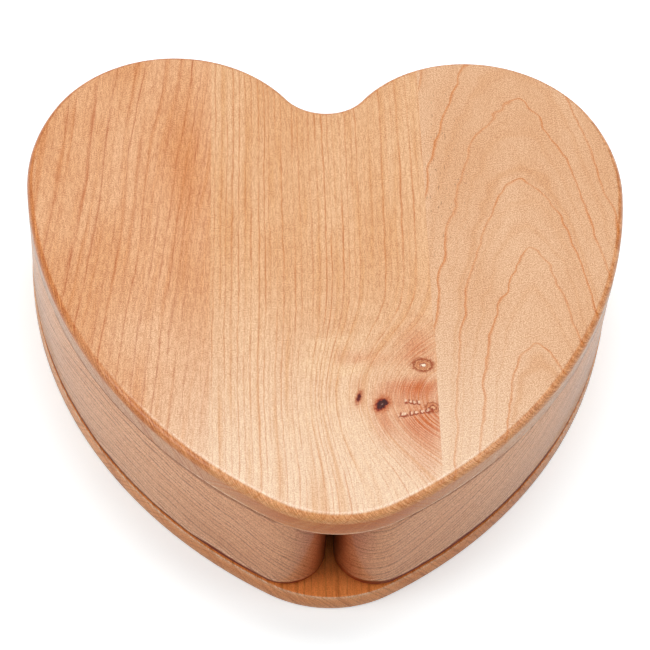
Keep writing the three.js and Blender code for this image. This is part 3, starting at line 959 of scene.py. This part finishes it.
# The cluster of knots: where and how far the grain swings, and (centre, reach, amount) of the warm shading
cluster = {
    "centre": (34.0, -53.6),
    "reach": (29.0, 24.0),
    "swing": 42.0,
    "tilt": -1.2,
    "fibres": (0.75, 26.0),
    "warmth": [
        ((29.0, -34.0), (6.0, 9.0), 0.75), ((27.0, -49.0), (9.0, 3.2), 0.85),
        ((15.5, -56.0), (4.0, 8.0), 0.6), ((29.0, -62.0), (10.0, 9.5), 1.0),
        ((12.0, -38.0), (14.0, 3.0), 0.45), ((26.0, -51.0), (7.5, 6.5), 0.7),
        ((29.0, -74.0), (7.0, 10.0), 0.45), ((7.7, -53.4), (2.0, 5.0), 0.5),
        ((16.0, -64.0), (3.0, 6.0), 0.45),
    ],
    "warm": "CA5E20",
    "shimmer": ((0.0, -40.0), (26.0, 22.0)),
    "shimmerSize": (24.0, 9.0),
    "shimmerDepth": 0.6,
    "shimmerColour": "F6CFA4",
}


# The grain swings left round a group of pin knots beside the glue line
def knotFigure(node, place, x, y, z):
    swing = node("multiply", bell(node, x, y, cluster["centre"], cluster["reach"]), cluster["swing"])
    return node("add", x, swing, node("multiply", z, cluster["tilt"])), 1.0


# Warm shading of the cross grain round the knots, drawn in the fibres that swing past, and pale shimmer
def knotShade(node, place, tone, x, y, z):
    depth, slope = knotFigure(node, place, x, y, z)
    width, length = cluster["fibres"]
    fibrePlace = node("joined", node("divide", depth, width), node("divide", y, length))
    fibres = node("spread", node("noise", fibrePlace, 1.0, 2.0), 0.34, 0.62, 0.35, 1.0)
    for centre, reach, amount in cluster["warmth"]:
        warmth = node("multiply", bell(node, x, y, centre, reach), fibres, amount)
        tone = node("blend", warmth, tone, cluster["warm"])
    slanted = node("joined", x, node("add", y, node("multiply", x, -0.3)), z)
    curl = pattern(node, slanted, cluster["shimmerSize"], 2.0, (0.4, 0.65))
    shimmer = node("multiply", bell(node, x, y, *cluster["shimmer"]), curl, cluster["shimmerDepth"])
    return node("blend", shimmer, tone, cluster["shimmerColour"])


# Pin knots, each a row of rings from its heart outwards: (distance, colour, cover)
pinKnots = [
    {"centre": (29.7, -39.8), "radii": (3.7, 2.9), "lean": 0.0, "rings": (
        (0.0, "FFE6CC", 1.0), (0.14, "FFE0C0", 1.0), (0.24, "9A3A16", 1.0), (0.36, "DC9664", 0.9),
        (0.5, "B4582A", 0.9), (0.62, "E0A06C", 0.8), (0.8, "98380F", 1.0), (1.0, "B86030", 0.6),
    )},
    {"centre": (15.3, -56.2), "radii": (3.2, 4.0), "lean": 0.35, "rings": (
        (0.0, "A08878", 1.0), (0.1, "5C2014", 1.0), (0.28, "380804", 1.0), (0.48, "4E0E06", 1.0),
        (0.58, "9A3414", 1.0), (0.74, "BC5A28", 0.75), (1.0, "CC7844", 0.35),
    )},
    {"centre": (7.7, -53.4), "radii": (1.5, 3.8), "lean": 0.25, "rings": (
        (0.0, "4A0A04", 1.0), (0.34, "6A1808", 1.0), (0.52, "B04C20", 0.8), (1.0, "C87848", 0.2),
    )},
    {"centre": (31.9, -57.2), "radii": (2.8, 2.4), "lean": 0.0, "rings": (
        (0.0, "F0B888", 1.0), (0.22, "E8A878", 1.0), (0.42, "92300E", 1.0), (0.6, "D88A5A", 0.8),
        (0.8, "A04416", 0.9), (1.0, "B86030", 0.2),
    )},
]
knotFuzz = {"size": (1.1, 1.1), "depth": 1.3, "knots": 0.6, "beads": 0.9}
knotReach = 1.25  # the last ring fades out at this share of the radii
beads = {
    "rows": [
        {"start": 20.6, "end": 32.0, "y": -60.4, "pitch": 2.1, "rise": 0.2},
        {"start": 23.0, "end": 28.0, "y": -54.6, "pitch": 1.8, "rise": -0.12},
    ],
    "uneven": 2.4,
    "unevenSize": (3.0, 30.0),
    "rowEnd": 0.2,
    "beadDepth": 0.55,
    "bead": "FADCBC",
    "crescentDepth": 0.9,
    "crescent": "9A3410",
}


def knots(node, place, tone, x, y, z):
    fuzz = wobble(node, place, knotFuzz["size"], 3.0, knotFuzz["depth"])
    for knot in pinKnots:
        far = node("sqrt", farSquared(node, x, y, knot["centre"], knot["radii"], knot["lean"]))
        far = node("add", far, node("multiply", fuzz, knotFuzz["knots"]))
        ramp = node("ShaderNodeValToRGB", node("multiply", far, 1 / knotReach))
        stops = ramp.color_ramp.elements
        for distance, colour, cover in knot["rings"][1:]:
            stops.new(distance / knotReach).color = [*linear(colour)[:3], cover]
        stops[0].color = linear(knot["rings"][0][1])
        stops[-1].color = [*linear(knot["rings"][-1][1])[:3], 0]
        tone = node("blend", ramp.outputs["Alpha"], tone, ramp)

    # two slanting rows of small pale beads between the knots, each with a dark crescent below
    uneven = grain(node, place, beads["unevenSize"], 0.0)
    for row in beads["rows"]:
        fromStart = node("subtract", x, row["start"])
        wide = node("add", fromStart, node("multiply", uneven, beads["uneven"]))
        across = node("subtract", node("fract", node("divide", wide, row["pitch"])), 0.5)
        across = node("multiply", across, row["pitch"])
        ahead = node("subtract", y, node("add", node("multiply", fromStart, row["rise"]), row["y"]))
        ring = node("add", node("sqrt", squares(node, across, ahead)),
                    node("multiply", fuzz, knotFuzz["beads"]))
        start, end, fade = row["start"], row["end"], beads["rowEnd"]
        inRow = node("multiply", node("spread", x, start - fade, start + fade),
                     node("spread", x, end + fade, end - fade))
        below = node("spread", node("add", ahead, node("multiply", across, 0.9)), 0.7, -0.2)
        crescent = node("multiply", node("spread", ring, 0.4, 0.7), node("spread", ring, 1.5, 0.95),
                        below, inRow, beads["crescentDepth"])
        bead = node("multiply", node("spread", ring, 0.8, 0.4), inRow, beads["beadDepth"])
        tone = node("blend", crescent, node("blend", bead, tone, beads["bead"]), beads["crescent"])
    return tone


# Short dark pore flecks along the inner side of the arched stave
def pores(node, place, tone, x, y, z):
    fleck = pattern(node, place, (0.5, 2.2), 1.0, (0.68, 0.74))
    region = bell(node, x, y, (41.0, 45.0), (9.0, 38.0))
    return node("blend", node("multiply", fleck, region, 0.8), tone, "8A5028")


# Soft patches of another tone: (centre, reach, cover, colour)
def toned(*patches):
    def shade(node, place, tone, x, y, z):
        for centre, reach, cover, colour in patches:
            tone = node("blend", node("multiply", bell(node, x, y, centre, reach), cover), tone, colour)
        return tone
    return shade


# A redder streak and a paler patch on the left stave; the right flank of the base took up more finish
leftPatches = toned(
    ((-50.0, 45.0), (9.0, 34.0), 0.5, "D88A50"), ((-64.0, -30.0), (16.0, 14.0), 0.5, "F2C49C"),
)
warmFlank = toned(((72.0, -18.0), (45.0, 60.0), 0.8, "D06E28"))

# Beside the finger gap the end grain took up more finish: (from, to, cover, colour)
endGrain = {"along": (-60.0, -78.0), "aside": [(17.0, 3.0, 0.85, "AC4C1E"), (5.8, 1.6, 0.68, "702A0C")]}


def darkEnd(node, place, tone, x, y, z):
    aside = node("absolute", x)
    front = node("spread", y, *endGrain["along"])
    for far, near, cover, colour in endGrain["aside"]:
        stain = node("multiply", node("spread", aside, far, near), front, cover)
        tone = node("blend", stain, tone, colour)
    return tone


# One even colour with a mottle in cells of that size in millimetres, drawn coarse enough to show
def plainFinish(name, colour, mottle, depth, relief, roughness, metallic=0.0, sheen=0.0):
    material, node = emptyMaterial(name)
    coordinates = node("ShaderNodeTexCoord")
    clumps = node("ShaderNodeTexNoise", {
        "Vector": coordinates.outputs["Object"], "Scale": 1 / (mottle * mm), "Detail": 3.0,
    })
    tone = node("slope", clumps, 0.3, 0.7, 1 - depth, 1 + depth)
    base = node("ShaderNodeRGB")
    base.outputs[0].default_value = linear(colour)
    shader = node("ShaderNodeBsdfPrincipled", {
        "Base Color": node("ShaderNodeVectorMath", {0: base, "Scale": tone}, operation="SCALE"),
        "Normal": node("ShaderNodeBump", {"Height": clumps, "Strength": relief, "Distance": 0.2 * mm}),
        "Roughness": roughness, "Metallic": metallic, "Sheen Weight": sheen,
    })
    node("ShaderNodeOutputMaterial", {"Surface": shader})
    return material


# Ground steel rod: a bright, slightly soft sheen
steelPin = plainFinish("groundSteelPin", colour="B8BABD", mottle=1.5, depth=0.05, relief=0.05,
                       roughness=0.3, metallic=1.0)
# Zinc-plated steel: a warmer and duller grey than the pin
zincScrew = plainFinish("zincPlatedScrew", colour="C9C7C0", mottle=1.0, depth=0.06, relief=0.05,
                        roughness=0.35, metallic=1.0)
# Nylon punched from sheet: off-white, waxy and without a sharp highlight
nylonWasher = plainFinish("whiteNylon", colour="E8E3D9", mottle=3.0, depth=0.02, relief=0.03,
                          roughness=0.55)
# Beech dowel rod, unfinished: pale, dry and a little rough
beechDowel = plainFinish("beechDowel", colour="D9B48C", mottle=0.8, depth=0.08, relief=0.2, roughness=0.6)
# Pressed wool-blend felt: dull brown, mottled in small clumps, with a faint light fuzz at a low angle
linerFelt = plainFinish("brownWoolFelt", colour="6B4A33", mottle=0.5, depth=0.2, relief=0.8,
                        roughness=0.95, sheen=0.25)
rightDrawerWood = wood("lacqueredAlderDrawerRight", drawerBlock, flatFigure(-0.3, -0.26, 1.0), [darkEnd])

# Finish and slot of each piece, by the start of its name
dress = {
    "lidStaveLeft": (wood("lacqueredAlderRed", leftStave, flatFigure(1.0, -0.09, 0.6), [leftPatches]),
                     "lid_wood_left"),
    "lidStaveMiddle": (wood("lacqueredAlderKnotty", middleStave, knotFigure, [knotShade], [knots]),
                       "lid_wood_middle"),
    "lidStaveRight": (wood("lacqueredAlderArched", rightStave, archFigure, [pores]), "lid_wood_right"),
    "baseStave": (wood("lacqueredAlderBase", baseBoard, flatFigure(1.0, 0.0, 0.8), [warmFlank]),
                  "base_wood"),
    "drawerLeft": (wood("lacqueredAlderDrawerLeft", drawerBlock, flatFigure(0.86, 0.68, 1.0), [darkEnd]),
                   "drawer_wood"),
    "drawerRight": (rightDrawerWood, "drawer_wood"),
    "centreBlock": (rightDrawerWood, "block_wood"),
    "lidDowel": (beechDowel, "dowel_wood"),
    "feltLiner": (linerFelt, "liner_felt"),
    "pivotPin": (steelPin, "pin_steel"),
    "blockScrews": (zincScrew, "screw_steel"),
    "lowerWasher": (nylonWasher, "washer_nylon"),
    "upperWasher": (nylonWasher, "washer_nylon"),
}

screws = addObject("blockScrews", bpy.data.meshes.new("blockScrews"))
modifier = screws.modifiers.new("row", "NODES")
modifier.node_group = screwTree
sockets = {entry.name: entry.identifier for entry in screwTree.interface.items_tree
           if entry.in_out == "INPUT"}
for socketName, value in {
    "Screw": screwModel, "Finish": zincScrew, "Count": screw["count"],
    "First place": (screwMiddle[0] * mm, screwMiddle[1] * mm, screwFoot * mm),
    "Step": (0, screwSpacing * mm, 0), "Turn of each": screw["turn"],
}.items():
    modifier[sockets[socketName]] = value
graph = bpy.context.evaluated_depsgraph_get()
screwMesh = bpy.data.meshes.new_from_object(screws.evaluated_get(graph))
screws.modifiers.clear()
screws.data = screwMesh
bpy.data.objects.remove(screwModel)
pieces["blockScrews"] = screws

print("stage 5: pieces onto their bodies")
for body, members in frame["record"]["behaviour"]["bodies"].items():
    for name in dict.fromkeys(map(pieceName, members)):
        piece = pieces[name]
        finish, slot = next(dress[start] for start in dress if name.startswith(start))
        piece.data.materials.clear()
        piece.data.materials.append(finish)
        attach(piece, body)
        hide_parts(*(node for node in members if pieceName(node) == name))

# Each felt liner is cut to its pocket and laid on the floor of it; its underside gives the cut area
for side in ("left", "right"):
    low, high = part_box(f"felt_liner_{side}")

print("stage 6: sizes")
